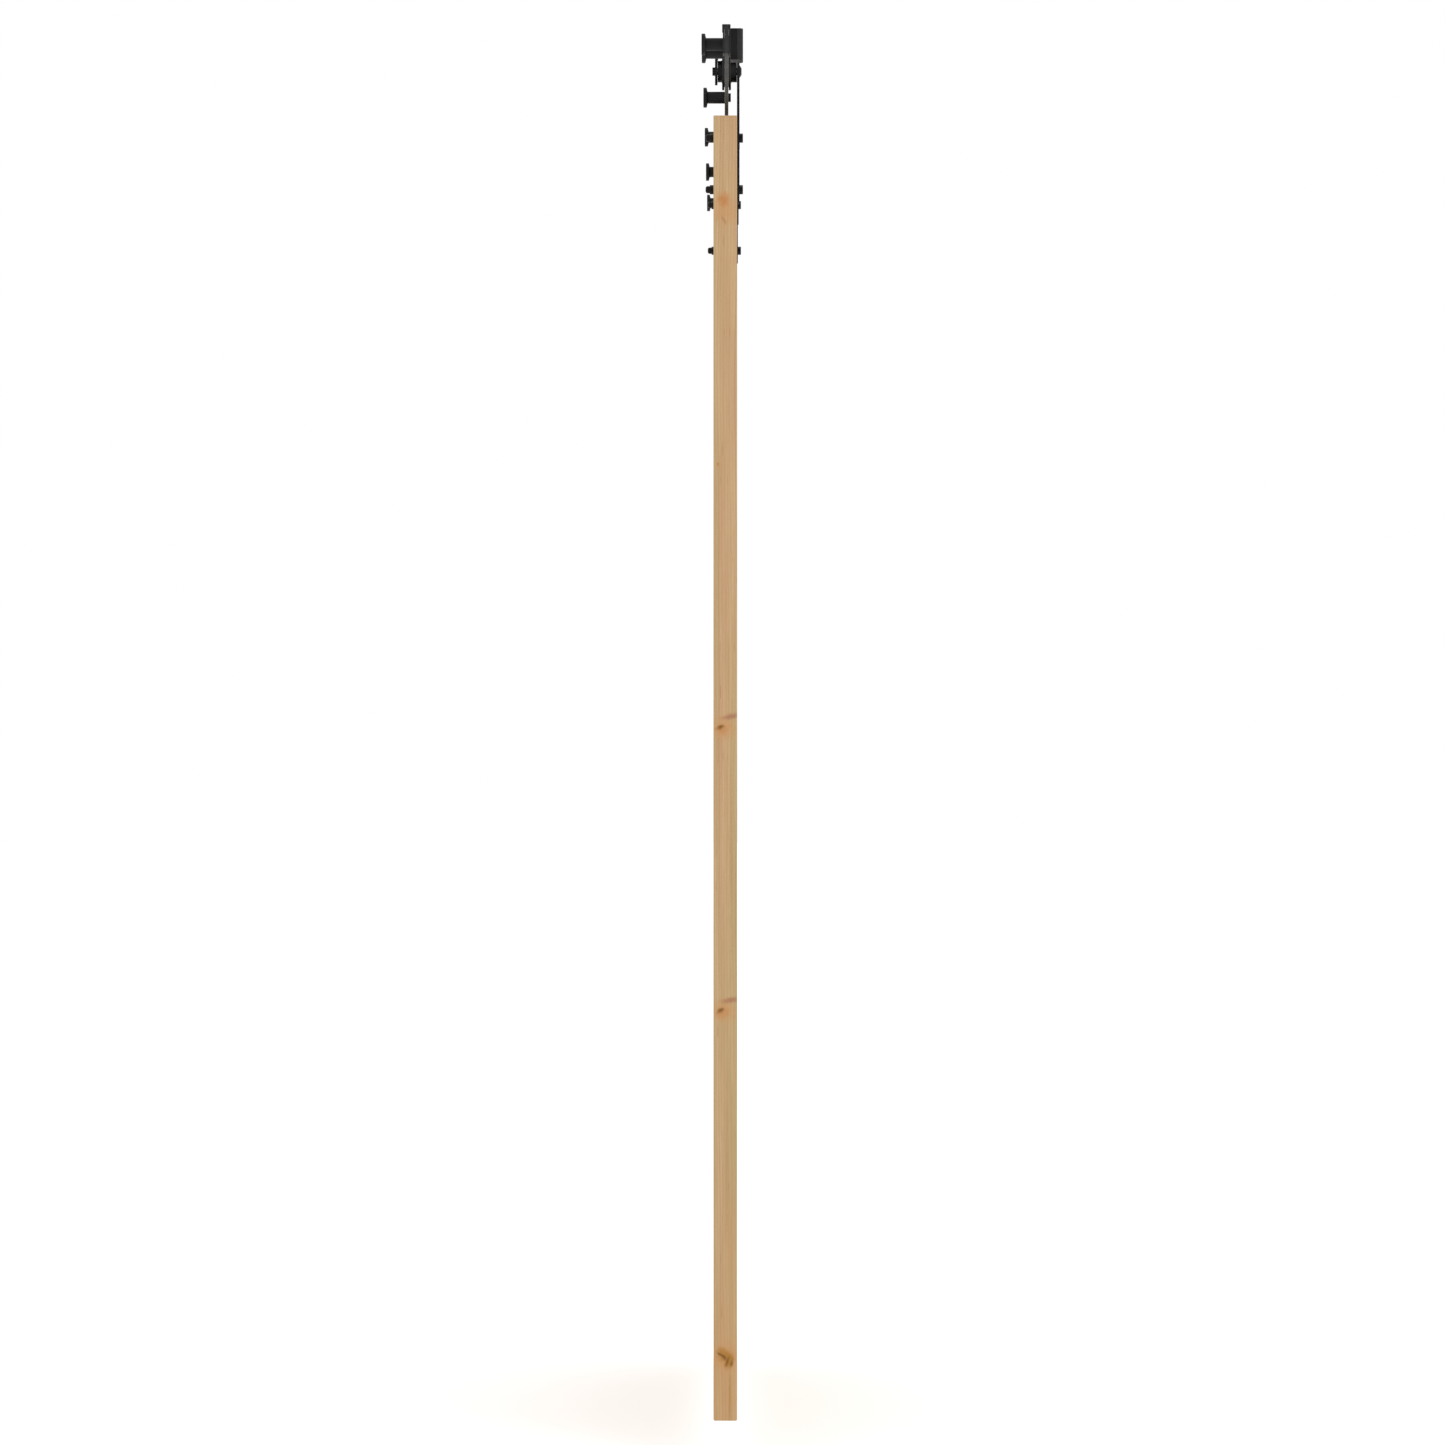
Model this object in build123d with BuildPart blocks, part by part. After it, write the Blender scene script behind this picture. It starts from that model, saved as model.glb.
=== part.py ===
"""Wall-hung sliding barn door: flat steel track on standoffs, two bent-strap
hangers with grooved ball-bearing wheels, two end stops and a framed pine door.

Frame: origin at the wall face of the middle standoff, +X along the track,
+Y into the wall, +Z up.  The wall is the plane y = 0 and the door hangs on
the room side of it, so "out" below is a distance from the wall, out = -y.
"""
from build123d import *
import os
from math import radians, tan

os.makedirs("parts", exist_ok=True)

# ---- door ----------------------------------------------------------------
door_width = 900
door_height = 2100
door_thickness = 38
door_back = 16.5                       # out, rear face of the door
door_top = -36                         # z
stile_width = 120
top_rail_height = 120
mid_rail_height = 140
mid_rail_z = -1010
bottom_rail_height = 200
frame_groove_depth = 12
board_thickness = 14
board_count = 5                        # boards side by side in each panel
board_tongue = 6
tongue_thickness = 4.6
board_vee = 3
brace_width = 92
brace_thickness = 11
wood_fit = 0.2                         # gap left in every glued or sliding wood joint
arris = 1.5                            # broken outer corners of the frame
brace_arris = 1

# ---- track ---------------------------------------------------------------
track_length = 1830
track_height = 40
track_thickness = 6
standoff_length = 34.5
standoff_radius = 9.5
standoff_rose_radius = 16
standoff_rose_rim = 5.3
standoff_rose_cone = 1.5
standoff_rose_round = 0.9
standoff_pitch = 406
standoff_x = [-878, -2 * standoff_pitch, -standoff_pitch, 0, standoff_pitch, 2 * standoff_pitch]
wall_thread_radius = 4
wall_thread_depth = 15
bolt_hole_depth = 14
bolt_engagement = 13

# ---- fasteners -----------------------------------------------------------
m8_radius = 4
m8_clearance_radius = 4.4
hex_across_flats = 13
track_bolt_head = 4
door_bolt_head = 5.7
nut_base = 6.3
acorn_dome_radius = 5.8
acorn_dome_height = 6.8
acorn_dome_round = 3.4
thread_gap = 0.1
bolt_chamfer = 0.5
steel_chamfer = 0.7                    # nuts, stops and the track's long edges

# ---- hangers and wheels --------------------------------------------------
hanger_x = door_width / 2 - stile_width / 2
strap_width = 44
strap_thickness = 4
strap_back = 18.8                      # out, rear face of the rear leg
strap_bottom = -170.2                  # z, lower end of the front leg
strap_bend_z = 63                      # z, centre of the bend over the wheel
leg_end_round = 21.9                   # each leg ends in almost a half circle
door_bolt_z = [-63, -146.8]
axle_z = 45
axle_head_radius = 9.8
axle_head_height = 3.4
axle_head_rim = 0.6
axle_head_flat_radius = 5.6
axle_nut_flats = 12.5
axle_nut_height = 4.3
axle_socket_radius = 2.9               # hexagon socket in the head
axle_socket_depth = 2.2
wheel_radius = 30
wheel_tread_radius = 24.7
wheel_width = 14.5
wheel_groove_width = 7
groove_wall_draft = 3                  # degrees
hub_radius = 17.2
hub_length = 31.1
hub_fillet = 2                         # where the hub meets the flanges
wheel_bore_radius = 6.2
wheel_rim_round = 0.8
bearing_radius = 11
bearing_width = 7
outer_race_inner_radius = 9.4
inner_race_outer_radius = 5.7
ball_radius = 1.7
ball_count = 7
sleeve_radius = 5.2

# ---- end stops -----------------------------------------------------------
stop_length = 25
clamp_back_wall = 2.7
clamp_front_wall = 2.7
clamp_top = 23.5                       # z
clamp_cap_height = 8                   # the cap stands a little proud of the back wall
clamp_cap_proud = 0.9
clamp_slot_gap = 0.1
block_depth = 10.3
block_top = 17.4
block_bottom = -29.2
bumper_depth = 8.2
bumper_proud = 5                       # past the steel, towards the door
bumper_chamfer = 3.8
stop_screw_z = [-15, 6]
stop_screw_radius = 3
stop_screw_head_radius = 5
stop_screw_head = 6
stop_screw_socket = 2.5                # radius of the hexagon socket
stop_key_hole = 4                      # radius of the access holes in the rubber

# ---- worked out ----------------------------------------------------------
door_front = door_back + door_thickness
door_middle = (door_back + door_front) / 2
door_bottom = door_top - door_height
inner_half_width = door_width / 2 - stile_width
track_back = standoff_length
track_front = track_back + track_thickness
track_middle = (track_back + track_front) / 2
strap_front = door_front + strap_thickness
leg_gap_back = strap_back + strap_thickness
leg_gap = door_front - leg_gap_back
bend_radius = leg_gap / 2
hub_back = leg_gap_back + (leg_gap - hub_length) / 2
hub_front = hub_back + hub_length
panels = {
    "upper": (door_top - top_rail_height, mid_rail_z + mid_rail_height / 2),
    "lower": (mid_rail_z - mid_rail_height / 2, door_bottom + bottom_rail_height),
}
sides = {"left": -1, "right": 1}


def room_plane(out, x=0, z=0):
    """A plane facing the room, that far out from the wall: local x is X, local y is Z."""
    return Plane(origin=(x, -out, z), x_dir=(1, 0, 0), z_dir=(0, -1, 0))


def side_plane(x, z=0):
    """A plane facing -X: local x runs out from the wall, local y is Z."""
    return Plane(origin=(x, 0, z), x_dir=(0, -1, 0), z_dir=(-1, 0, 0))


def rims(piece, radius):
    """The circular edges of that radius on a turned piece."""
    circles = piece.edges().filter_by(GeomType.CIRCLE)
    return circles.filter_by(lambda edge: abs(edge.radius - radius) < 0.01)


def save(piece, name):
    """Name a finished piece and write its file."""
    piece.part.label = name
    export_step(piece.part, f"parts/{name}.step")


# ==== door frame ==========================================================
groove_width = board_thickness + 2 * wood_fit

for side, sign in sides.items():
    stile_x = sign * hanger_x
    inner_edge_x = sign * inner_half_width
    with BuildPart() as stile:
        with BuildSketch(Plane.XY.offset(door_bottom)):
            with Locations((stile_x, -door_middle)):
                Rectangle(stile_width, door_thickness)
        extrude(amount=door_height)
        chamfer(stile.edges().filter_by(Axis.Z), arris)
        chamfer(stile.faces().sort_by(Axis.Z)[0].edges(), arris)
        with BuildSketch(Plane.XY.offset(door_bottom)):
            with Locations((inner_edge_x, -door_middle)):
                Rectangle(2 * frame_groove_depth, groove_width)
        extrude(amount=door_height, mode=Mode.SUBTRACT)
        with BuildSketch(room_plane(door_back, stile_x)):
            with Locations([(0, z) for z in door_bolt_z]):
                Circle(m8_clearance_radius)
        extrude(amount=door_thickness, mode=Mode.SUBTRACT)
    save(stile, f"door_stile_{side}")

rails = {
    "top": (door_top - top_rail_height, door_top),
    "middle": (mid_rail_z - mid_rail_height / 2, mid_rail_z + mid_rail_height / 2),
    "bottom": (door_bottom, door_bottom + bottom_rail_height),
}
tenon_length = frame_groove_depth - wood_fit

for rail_name, (low, high) in rails.items():
    grooved_edges = [z for z in (low, high) if z not in (door_top, door_bottom)]
    with BuildPart() as rail:
        with BuildSketch(room_plane(door_back, z=(low + high) / 2)):
            Rectangle(2 * inner_half_width, high - low)
        extrude(amount=door_thickness)
        chamfer(rail.edges().filter_by(Axis.X), arris)
        with BuildSketch(room_plane(door_middle - board_thickness / 2, z=(low + high) / 2)):
            Rectangle(2 * (inner_half_width + tenon_length), high - low - 2 * wood_fit)
        extrude(amount=board_thickness)
        for edge_z in grooved_edges:
            with BuildSketch(Plane.XY.offset(edge_z)):
                with Locations((0, -door_middle)):
                    Rectangle(2 * (inner_half_width + frame_groove_depth), groove_width)
            extrude(amount=frame_groove_depth, both=True, mode=Mode.SUBTRACT)
    save(rail, f"door_rail_{rail_name}")

# ==== door boards, tongued and grooved =====================================
boards_width = 2 * (inner_half_width + frame_groove_depth - 2 * wood_fit)
board_pitch = boards_width / board_count

for panel_name, (high, low) in panels.items():
    board_low = low - frame_groove_depth + 2 * wood_fit
    board_high = high + frame_groove_depth - 2 * wood_fit
    for number in range(1, board_count + 1):
        left_x = -boards_width / 2 + (number - 1) * board_pitch
        right_x = left_x + board_pitch - wood_fit
        with BuildPart() as board:
            with BuildSketch(Plane.XY.offset(board_low)):
                with Locations(((left_x + right_x) / 2, -door_middle)):
                    Rectangle(right_x - left_x, board_thickness)
            extrude(amount=board_high - board_low)
            chamfer(board.edges().filter_by(Axis.Z), board_vee)
            if number < board_count:
                with BuildSketch(Plane.XY.offset(board_low)):
                    with Locations((right_x, -door_middle)):
                        Rectangle(2 * board_tongue, tongue_thickness)
                extrude(amount=board_high - board_low)
            if number > 1:
                with BuildSketch(Plane.XY.offset(board_low)):
                    with Locations((left_x, -door_middle)):
                        Rectangle(2 * board_tongue + 4 * wood_fit, tongue_thickness + 2 * wood_fit)
                extrude(amount=board_high - board_low, mode=Mode.SUBTRACT)
        save(board, f"{panel_name}_board_{number}")

# ==== diagonal braces on the room side of the boards =======================
brace_back = door_middle + board_thickness / 2

for panel_name, (high, low) in panels.items():
    slope = 1 if panel_name == "upper" else -1
    opening_width = 2 * (inner_half_width - wood_fit)
    opening_height = high - low - 2 * wood_fit
    brace_centre_z = (high + low) / 2
    corner = (inner_half_width - brace_width / 2, slope * (opening_height - brace_width) / 2)
    angle = Vector(1, 0).get_angle(Vector(*corner)) * slope
    with BuildPart() as brace:
        with BuildSketch(room_plane(brace_back, z=brace_centre_z)):
            Rectangle(2 * opening_height, brace_width, rotation=angle)
            Rectangle(opening_width, opening_height, mode=Mode.INTERSECT)
        extrude(amount=brace_thickness)
        chamfer(brace.faces().sort_by(Axis.Y)[0].edges(), brace_arris)
    save(brace, f"{panel_name}_brace")

# ==== track ================================================================
with BuildPart() as track_rail:
    with BuildSketch(room_plane(track_back)):
        Rectangle(track_length, track_height)
        with Locations([(x, 0) for x in standoff_x]):
            Circle(m8_clearance_radius, mode=Mode.SUBTRACT)
    extrude(amount=track_thickness)
    chamfer(track_rail.edges().filter_by(Axis.X), steel_chamfer)
save(track_rail, "track_rail")

for number, x in enumerate(standoff_x, start=1):
    with BuildPart() as standoff:
        with BuildSketch(side_plane(x)):
            with BuildLine():
                Polyline(
                    (0, 0),
                    (0, standoff_rose_radius),
                    (standoff_rose_rim, standoff_rose_radius),
                    (standoff_rose_rim + standoff_rose_cone, standoff_radius),
                    (standoff_length, standoff_radius),
                    (standoff_length, 0),
                    close=True,
                )
            make_face()
        revolve(axis=Axis((x, 0, 0), (0, 1, 0)))
        fillet(rims(standoff, standoff_rose_radius), standoff_rose_round)
        with BuildSketch(room_plane(0, x)):
            Circle(wall_thread_radius)
        extrude(amount=wall_thread_depth, mode=Mode.SUBTRACT)
        with BuildSketch(room_plane(standoff_length, x)):
            Circle(m8_radius + thread_gap)
        extrude(amount=-bolt_hole_depth, mode=Mode.SUBTRACT)
    save(standoff, f"standoff_{number}")

with BuildPart() as track_bolts:
    with BuildSketch(room_plane(track_front)):
        with Locations([(x, 0) for x in standoff_x]):
            RegularPolygon(hex_across_flats / 2, 6, major_radius=False)
    extrude(amount=track_bolt_head)
    chamfer(track_bolts.faces().sort_by(Axis.Y)[0:len(standoff_x)].edges(), bolt_chamfer)
    with BuildSketch(room_plane(track_front)):
        with Locations([(x, 0) for x in standoff_x]):
            Circle(m8_radius)
    extrude(amount=-(track_thickness + bolt_engagement))
save(track_bolts, "track_bolts")

# ==== end stops ============================================================
clamp_back = track_back - clamp_slot_gap - clamp_back_wall
clamp_front = track_front + clamp_slot_gap + clamp_front_wall
clamp_middle = (clamp_back + clamp_front) / 2
block_front = clamp_front + block_depth

for side, sign in sides.items():
    stop_x = sign * (track_length / 2 - stop_length / 2)
    stop_outer_x = stop_x + stop_length / 2

    with BuildPart() as clamp:
        with BuildSketch(side_plane(stop_outer_x)):
            with Locations((clamp_middle, clamp_top)):
                Rectangle(clamp_front - clamp_back, clamp_top + track_height / 2,
                          align=(Align.CENTER, Align.MAX))
            with Locations((clamp_back, clamp_top)):
                Rectangle(2 * clamp_cap_proud, clamp_cap_height, align=(Align.CENTER, Align.MAX))
            with Locations((track_middle, track_height / 2 + clamp_slot_gap)):
                Rectangle(track_thickness + 2 * clamp_slot_gap, 2 * track_height,
                          align=(Align.CENTER, Align.MAX), mode=Mode.SUBTRACT)
        extrude(amount=stop_length)
        chamfer(clamp.faces().sort_by(Axis.Z)[-1].edges(), steel_chamfer)
        with BuildSketch(room_plane(track_front, stop_x)):
            with Locations([(0, z) for z in stop_screw_z]):
                Circle(stop_screw_radius + thread_gap)
        extrude(amount=clamp_front - track_front, mode=Mode.SUBTRACT)
    save(clamp, f"stop_clamp_{side}")

    with BuildPart() as block:
        with BuildSketch(room_plane(clamp_front, stop_x, (block_top + block_bottom) / 2)):
            Rectangle(stop_length, block_top - block_bottom)
        extrude(amount=block_depth)
        chamfer(block.edges().filter_by(Axis.X).sort_by(Axis.Y)[2:], steel_chamfer)
        with BuildSketch(room_plane(clamp_front, stop_x)):
            with Locations([(0, z) for z in stop_screw_z]):
                Circle(stop_screw_radius + thread_gap)
        extrude(amount=block_depth, mode=Mode.SUBTRACT)
        with BuildSketch(room_plane(block_front - stop_screw_head, stop_x)):
            with Locations([(0, z) for z in stop_screw_z]):
                Circle(stop_screw_head_radius + thread_gap)
        extrude(amount=stop_screw_head, mode=Mode.SUBTRACT)
    save(block, f"stop_block_{side}")

    bumper_x = stop_x - sign * bumper_proud / 2
    with BuildPart() as bumper:
        with BuildSketch(room_plane(block_front, bumper_x, (block_top + block_bottom) / 2)):
            Rectangle(stop_length + bumper_proud, block_top - block_bottom)
        extrude(amount=bumper_depth)
        front_uprights = bumper.faces().sort_by(Axis.Y)[0].edges().filter_by(Axis.Z)
        chamfer(front_uprights, bumper_chamfer)
        with BuildSketch(room_plane(block_front, stop_x)):
            with Locations([(0, z) for z in stop_screw_z]):
                Circle(stop_key_hole)
        extrude(amount=bumper_depth, mode=Mode.SUBTRACT)
    save(bumper, f"stop_bumper_{side}")

    with BuildPart() as screws:
        with BuildSketch(room_plane(track_front, stop_x)):
            with Locations([(0, z) for z in stop_screw_z]):
                Circle(stop_screw_radius)
        extrude(amount=block_front - track_front - stop_screw_head)
        with BuildSketch(room_plane(block_front - stop_screw_head, stop_x)):
            with Locations([(0, z) for z in stop_screw_z]):
                Circle(stop_screw_head_radius)
        extrude(amount=stop_screw_head)
        with BuildSketch(room_plane(block_front, stop_x)):
            with Locations([(0, z) for z in stop_screw_z]):
                RegularPolygon(stop_screw_socket, 6)
        extrude(amount=-stop_screw_head / 2, mode=Mode.SUBTRACT)
    save(screws, f"stop_screws_{side}")

# ==== hangers ==============================================================
bend_out = leg_gap_back + bend_radius
rear_leg_bottom = axle_z - strap_width / 2

for side, sign in sides.items():
    centre_x = sign * hanger_x

    with BuildPart() as strap:
        with BuildSketch(side_plane(centre_x + strap_width / 2)):
            with Locations((bend_out, strap_bend_z)):
                Circle(bend_radius + strap_thickness)
                Circle(bend_radius, mode=Mode.SUBTRACT)
            with Locations((bend_out, strap_bend_z - bend_radius)):
                Rectangle(2 * bend_radius, 2 * bend_radius, mode=Mode.SUBTRACT)
            with Locations((bend_out, strap_bend_z - 2 * bend_radius)):
                Rectangle(4 * bend_radius, 4 * bend_radius, mode=Mode.SUBTRACT)
            with Locations((strap_back, rear_leg_bottom)):
                Rectangle(strap_thickness, strap_bend_z - rear_leg_bottom, align=(Align.MIN, Align.MIN))
            with Locations((door_front, strap_bottom)):
                Rectangle(strap_thickness, strap_bend_z - strap_bottom, align=(Align.MIN, Align.MIN))
        extrude(amount=strap_width)
        for end_z in (strap_bottom, rear_leg_bottom):
            leg_corners = strap.edges().filter_by(Axis.Y).filter_by_position(Axis.Z, end_z - 1, end_z + 1)
            fillet(leg_corners, leg_end_round)
        with BuildSketch(room_plane(strap_back, centre_x)):
            with Locations((0, axle_z)):
                Circle(m8_radius + thread_gap)
        extrude(amount=strap_front - strap_back, mode=Mode.SUBTRACT)
        with BuildSketch(room_plane(door_front, centre_x)):
            with Locations([(0, z) for z in door_bolt_z]):
                Circle(m8_clearance_radius)
        extrude(amount=strap_thickness, mode=Mode.SUBTRACT)
    save(strap, f"hanger_strap_{side}")

    with BuildPart() as door_bolts:
        with BuildSketch(room_plane(strap_front, centre_x)):
            with Locations([(0, z) for z in door_bolt_z]):
                RegularPolygon(hex_across_flats / 2, 6, major_radius=False, rotation=90)
        extrude(amount=door_bolt_head)
        chamfer(door_bolts.faces().sort_by(Axis.Y)[0:len(door_bolt_z)].edges(), bolt_chamfer)
        with BuildSketch(room_plane(door_back - nut_base, centre_x)):
            with Locations([(0, z) for z in door_bolt_z]):
                Circle(m8_radius)
        extrude(amount=strap_front - door_back + nut_base)
    save(door_bolts, f"door_bolts_{side}")

    with BuildPart() as acorn_nuts:
        with BuildSketch(room_plane(door_back, centre_x)):
            with Locations([(0, z) for z in door_bolt_z]):
                RegularPolygon(hex_across_flats / 2, 6, major_radius=False, rotation=90)
        extrude(amount=-nut_base)
        chamfer(acorn_nuts.faces().sort_by(Axis.Y)[-len(door_bolt_z):].edges(), steel_chamfer)
        with BuildSketch(room_plane(door_back - nut_base, centre_x)):
            with Locations([(0, z) for z in door_bolt_z]):
                Circle(acorn_dome_radius)
        extrude(amount=-acorn_dome_height)
        fillet(acorn_nuts.faces().sort_by(Axis.Y)[-len(door_bolt_z):].edges(), acorn_dome_round)
        with BuildSketch(room_plane(door_back, centre_x)):
            with Locations([(0, z) for z in door_bolt_z]):
                Circle(m8_radius + thread_gap)
        extrude(amount=-(nut_base + thread_gap), mode=Mode.SUBTRACT)
    save(acorn_nuts, f"acorn_nuts_{side}")

    with BuildPart() as axle:
        with BuildSketch(room_plane(strap_back - axle_nut_height, centre_x, axle_z)):
            Circle(m8_radius)
        extrude(amount=strap_front - strap_back + axle_nut_height)
        with BuildSketch(room_plane(strap_front, centre_x, axle_z)):
            Circle(axle_head_radius)
        extrude(amount=axle_head_height)
        head_rim = axle.faces().sort_by(Axis.Y)[0].edges()
        chamfer(head_rim, axle_head_radius - axle_head_flat_radius, axle_head_height - axle_head_rim,
                reference=axle.faces().sort_by(Axis.Y)[0])
        with BuildSketch(room_plane(strap_front + axle_head_height, centre_x, axle_z)):
            RegularPolygon(axle_socket_radius, 6)
        extrude(amount=-axle_socket_depth, mode=Mode.SUBTRACT)
    save(axle, f"axle_bolt_{side}")

    with BuildPart() as axle_nut:
        with BuildSketch(room_plane(strap_back, centre_x, axle_z)):
            RegularPolygon(axle_nut_flats / 2, 6, major_radius=False)
        extrude(amount=-axle_nut_height)
        chamfer(axle_nut.faces().sort_by(Axis.Y)[-1].edges(), steel_chamfer)
        with BuildSketch(room_plane(strap_back, centre_x, axle_z)):
            Circle(m8_radius + thread_gap)
        extrude(amount=-axle_nut_height, mode=Mode.SUBTRACT)
    save(axle_nut, f"axle_nut_{side}")

    with BuildPart() as washers:
        for start, length in ((leg_gap_back, hub_back - leg_gap_back), (hub_front, door_front - hub_front)):
            with BuildSketch(room_plane(start, centre_x, axle_z)):
                Circle(inner_race_outer_radius)
                Circle(m8_radius + thread_gap, mode=Mode.SUBTRACT)
            extrude(amount=length)
    save(washers, f"axle_washers_{side}")

    bearing_starts = (hub_back, hub_front - bearing_width)
    with BuildPart() as inner_races:
        for start in bearing_starts:
            with BuildSketch(room_plane(start, centre_x, axle_z)):
                Circle(inner_race_outer_radius)
                Circle(m8_radius + thread_gap, mode=Mode.SUBTRACT)
            extrude(amount=bearing_width)
    save(inner_races, f"bearing_inner_races_{side}")

    with BuildPart() as sleeve:
        with BuildSketch(room_plane(hub_back + bearing_width, centre_x, axle_z)):
            Circle(sleeve_radius)
            Circle(m8_radius + thread_gap, mode=Mode.SUBTRACT)
        extrude(amount=hub_length - 2 * bearing_width)
    save(sleeve, f"axle_sleeve_{side}")

    # ---- what turns with the wheel ----
    with BuildPart() as outer_races:
        for start in bearing_starts:
            with BuildSketch(room_plane(start, centre_x, axle_z)):
                Circle(bearing_radius)
                Circle(outer_race_inner_radius, mode=Mode.SUBTRACT)
            extrude(amount=bearing_width)
    save(outer_races, f"bearing_outer_races_{side}")

    ball_ring_radius = (outer_race_inner_radius + inner_race_outer_radius) / 2
    with BuildPart() as balls:
        for start in bearing_starts:
            with Locations(room_plane(start + bearing_width / 2, centre_x, axle_z)):
                with PolarLocations(ball_ring_radius, ball_count):
                    Sphere(ball_radius)
    save(balls, f"bearing_balls_{side}")

    wheel_back = track_middle - wheel_width / 2
    wheel_front = track_middle + wheel_width / 2
    groove_floor_half = wheel_groove_width / 2
    groove_depth = wheel_radius - wheel_tread_radius
    groove_mouth_half = groove_floor_half + groove_depth * tan(radians(groove_wall_draft))
    with BuildPart() as wheel:
        with BuildSketch(side_plane(centre_x, axle_z)):
            with BuildLine():
                Polyline(
                    (hub_back, 0),
                    (hub_back, hub_radius),
                    (wheel_back, hub_radius),
                    (wheel_back, wheel_radius),
                    (track_middle - groove_mouth_half, wheel_radius),
                    (track_middle - groove_floor_half, wheel_tread_radius),
                    (track_middle + groove_floor_half, wheel_tread_radius),
                    (track_middle + groove_mouth_half, wheel_radius),
                    (wheel_front, wheel_radius),
                    (wheel_front, hub_radius),
                    (hub_front, hub_radius),
                    (hub_front, 0),
                    close=True,
                )
            make_face()
        revolve(axis=Axis((centre_x, 0, axle_z), (0, 1, 0)))
        fillet(rims(wheel, wheel_radius), wheel_rim_round)
        hub_roots = rims(wheel, hub_radius).sort_by(Axis.Y)[1:-1]
        fillet(hub_roots, hub_fillet)
        with BuildSketch(room_plane(hub_back, centre_x, axle_z)):
            Circle(wheel_bore_radius)
        extrude(amount=hub_length, mode=Mode.SUBTRACT)
        for start in bearing_starts:
            with BuildSketch(room_plane(start, centre_x, axle_z)):
                Circle(bearing_radius)
            extrude(amount=bearing_width, mode=Mode.SUBTRACT)
    save(wheel, f"wheel_{side}")
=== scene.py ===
"""Looks for the sliding barn door on its flat wall track.

Metres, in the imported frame: the wall is the plane y = 0, the room is on the -Y side,
the track runs along X and the door hangs below it.
"""
from math import atan2, cos, pi, radians, sin

import bpy
from mathutils import Matrix, Vector


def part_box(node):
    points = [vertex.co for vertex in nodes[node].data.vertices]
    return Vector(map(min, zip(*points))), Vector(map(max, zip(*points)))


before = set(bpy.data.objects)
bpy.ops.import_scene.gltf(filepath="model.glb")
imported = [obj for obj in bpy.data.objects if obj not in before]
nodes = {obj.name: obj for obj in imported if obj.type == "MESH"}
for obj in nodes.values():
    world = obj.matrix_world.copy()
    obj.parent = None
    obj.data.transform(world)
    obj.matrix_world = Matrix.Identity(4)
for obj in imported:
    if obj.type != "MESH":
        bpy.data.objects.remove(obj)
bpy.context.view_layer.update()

MM = 0.001
BEVEL_SAMPLES = 6
STANDOFFS = 6
BOARDS_IN_PANEL = 5


def centre_of(node):
    low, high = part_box(node)
    return (Vector(low) + Vector(high)) / 2


def size_of(node):
    low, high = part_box(node)
    return Vector(high) - Vector(low)


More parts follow.
